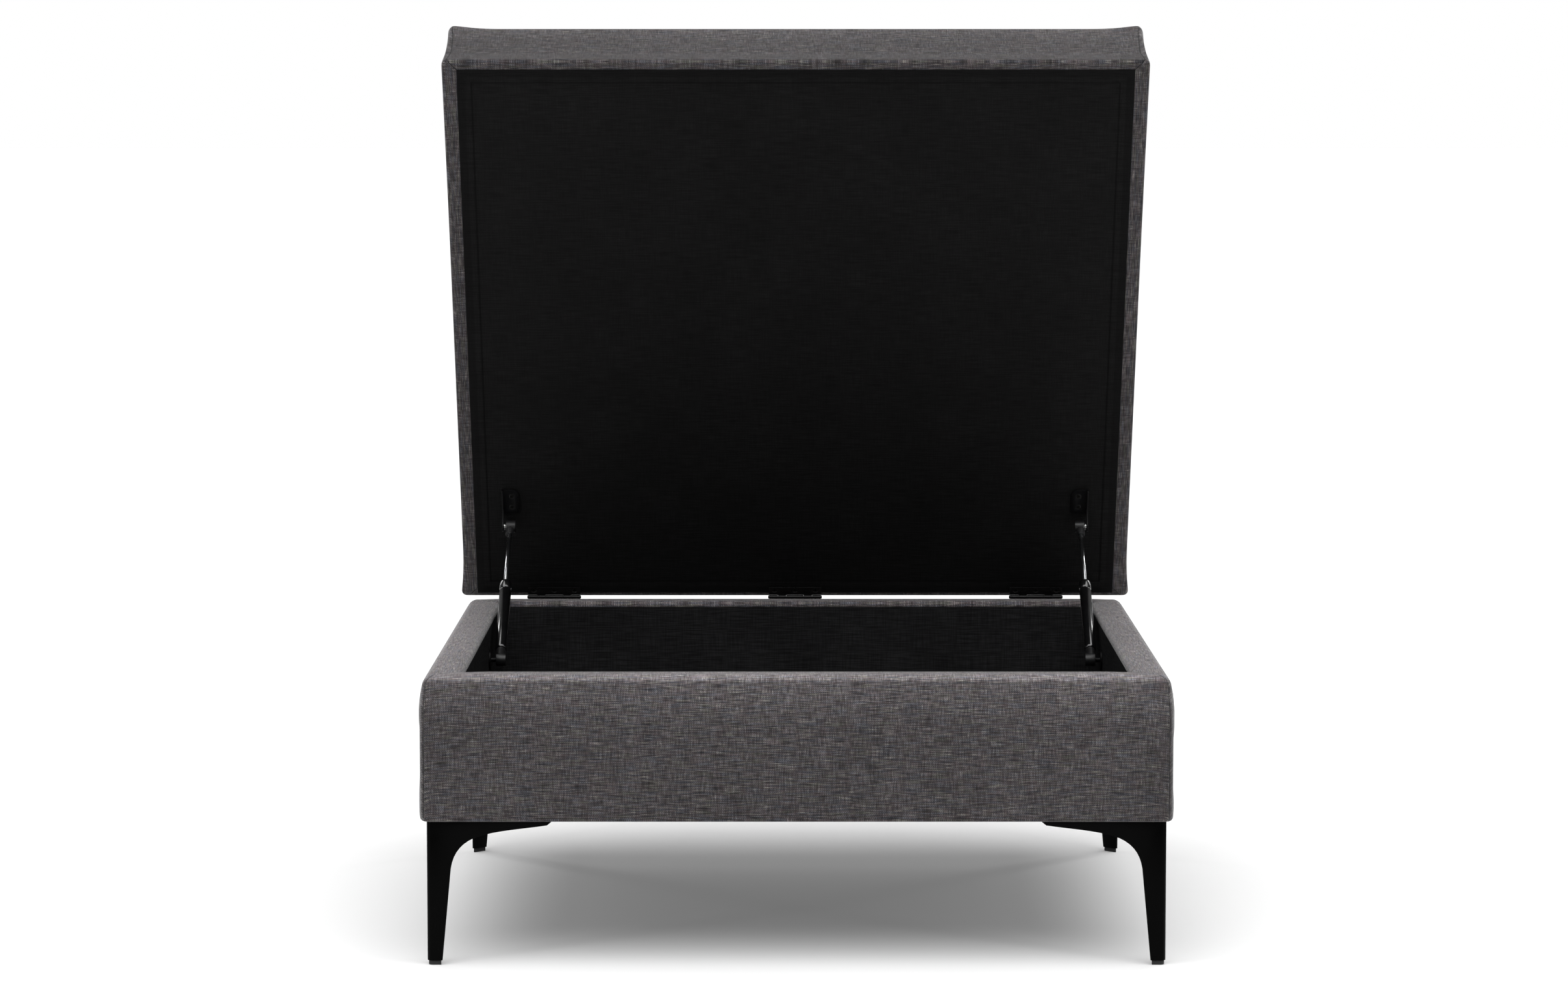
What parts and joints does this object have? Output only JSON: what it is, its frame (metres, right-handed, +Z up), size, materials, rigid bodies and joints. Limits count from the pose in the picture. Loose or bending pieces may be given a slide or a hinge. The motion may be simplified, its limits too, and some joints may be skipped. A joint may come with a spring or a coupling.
{
  "type": "storage ottoman",
  "caption": "Upholstered storage ottoman with a padded hinged lid held open by gas struts, a black lined box and slim black corner legs.",
  "frame": {"origin": "on the floor, at the middle of the bounding box of the whole ottoman with its lid open", "axes": "+Z up, -Y towards the front, where the lid opens, +X to the right seen from the front"},
  "size_m": [0.868, 0.8751, 1.0802],
  "materials": {
    "wood": "planed softwood and plywood, unfinished",
    "foam": "polyurethane foam",
    "upholstery": "slate grey melange linen-look weave",
    "lining": "matt black lining cloth",
    "dust_cloth": "matt black dust cover cloth",
    "leg_metal": "black powder coat, satin",
    "glide_plastic": "black moulded plastic",
    "black_steel": "black lacquered steel",
    "zinc_steel": "zinc plated steel",
    "chrome_rod": "polished hard chrome",
    "strut_paint": "black paint, semi-gloss",
    "socket_plastic": "black glass-filled nylon"
  },
  "bodies": {
    "box": {"front_board": "wood", "back_board": "wood", "left_board": "wood", "right_board": "wood", "bottom_board": "wood", "front_padding": "foam", "back_padding": "foam", "left_padding": "foam", "right_padding": "foam", "box_cover": "upholstery", "lining_walls": "lining", "lining_floor": "lining", "base_dust_cover": "dust_cloth", "leg_front_left": "leg_metal", "leg_front_right": "leg_metal", "leg_rear_left": "leg_metal", "leg_rear_right": "leg_metal", "glide_front_left": "glide_plastic", "glide_front_right": "glide_plastic", "glide_rear_left": "glide_plastic", "glide_rear_right": "glide_plastic", "leg_screws": "zinc_steel", "box_screws": "black_steel", "hinge_pins": "zinc_steel", "box_leaf_left": "black_steel", "box_leaf_middle": "black_steel", "box_leaf_right": "black_steel", "strut_plate_left": "black_steel", "strut_plate_right": "black_steel"},
    "lid": {"lid_front_rail": "wood", "lid_back_rail": "wood", "lid_left_rail": "wood", "lid_right_rail": "wood", "lid_board": "wood", "lid_edge_padding": "foam", "lid_foam": "foam", "lid_cover": "upholstery", "lid_dust_cover": "dust_cloth", "lid_screws": "black_steel", "lid_leaf_left": "black_steel", "lid_leaf_middle": "black_steel", "lid_leaf_right": "black_steel", "lid_bracket_left": "black_steel", "lid_bracket_right": "black_steel"},
    "strut_cylinder_left": {"lower_socket_left": "socket_plastic", "strut_tube_left": "strut_paint", "strut_guide_left": "socket_plastic"},
    "strut_rod_left": {"rod_left": "chrome_rod", "piston_left": "zinc_steel", "upper_socket_left": "socket_plastic", "upper_stud_left": "zinc_steel"},
    "strut_cylinder_right": {"lower_socket_right": "socket_plastic", "strut_tube_right": "strut_paint", "strut_guide_right": "socket_plastic"},
    "strut_rod_right": {"rod_right": "chrome_rod", "piston_right": "zinc_steel", "upper_socket_right": "socket_plastic", "upper_stud_right": "zinc_steel"}
  },
  "joints": [
    {"name": "lid_hinge", "type": "hinge", "parent": "box", "child": "lid", "pos_m": [0, 0.34143, 0.3379], "axis": [1, 0, 0], "range_deg": [0, 64.5], "stiffness_Nm_per_rad": 19.5, "springref_deg": -58.67},
    {"name": "strut_pivot_left", "type": "hinge", "parent": "box", "child": "strut_cylinder_left", "pos_m": [-0.372, 0.06143, 0.2909], "axis": [1, 0, 0], "range_deg": [-21.76, 0]},
    {"name": "strut_slide_left", "type": "slide", "parent": "strut_cylinder_left", "child": "strut_rod_left", "axis": [0, 0.8314, 0.5557], "range_m": [-0.09597, 0]},
    {"name": "strut_pivot_right", "type": "hinge", "parent": "box", "child": "strut_cylinder_right", "pos_m": [0.372, 0.06143, 0.2909], "axis": [1, 0, 0], "range_deg": [-21.76, 0]},
    {"name": "strut_slide_right", "type": "slide", "parent": "strut_cylinder_right", "child": "strut_rod_right", "axis": [0, 0.8314, 0.5557], "range_m": [-0.09597, 0]}
  ],
  "couplings": [
    {"joint": "strut_pivot_left", "follows": "lid_hinge", "ratio": -0.33718},
    {"joint": "strut_slide_left", "follows": "lid_hinge", "m_per_rad": -0.085208},
    {"joint": "strut_pivot_right", "follows": "lid_hinge", "ratio": -0.33718},
    {"joint": "strut_slide_right", "follows": "lid_hinge", "m_per_rad": -0.085208}
  ]
}
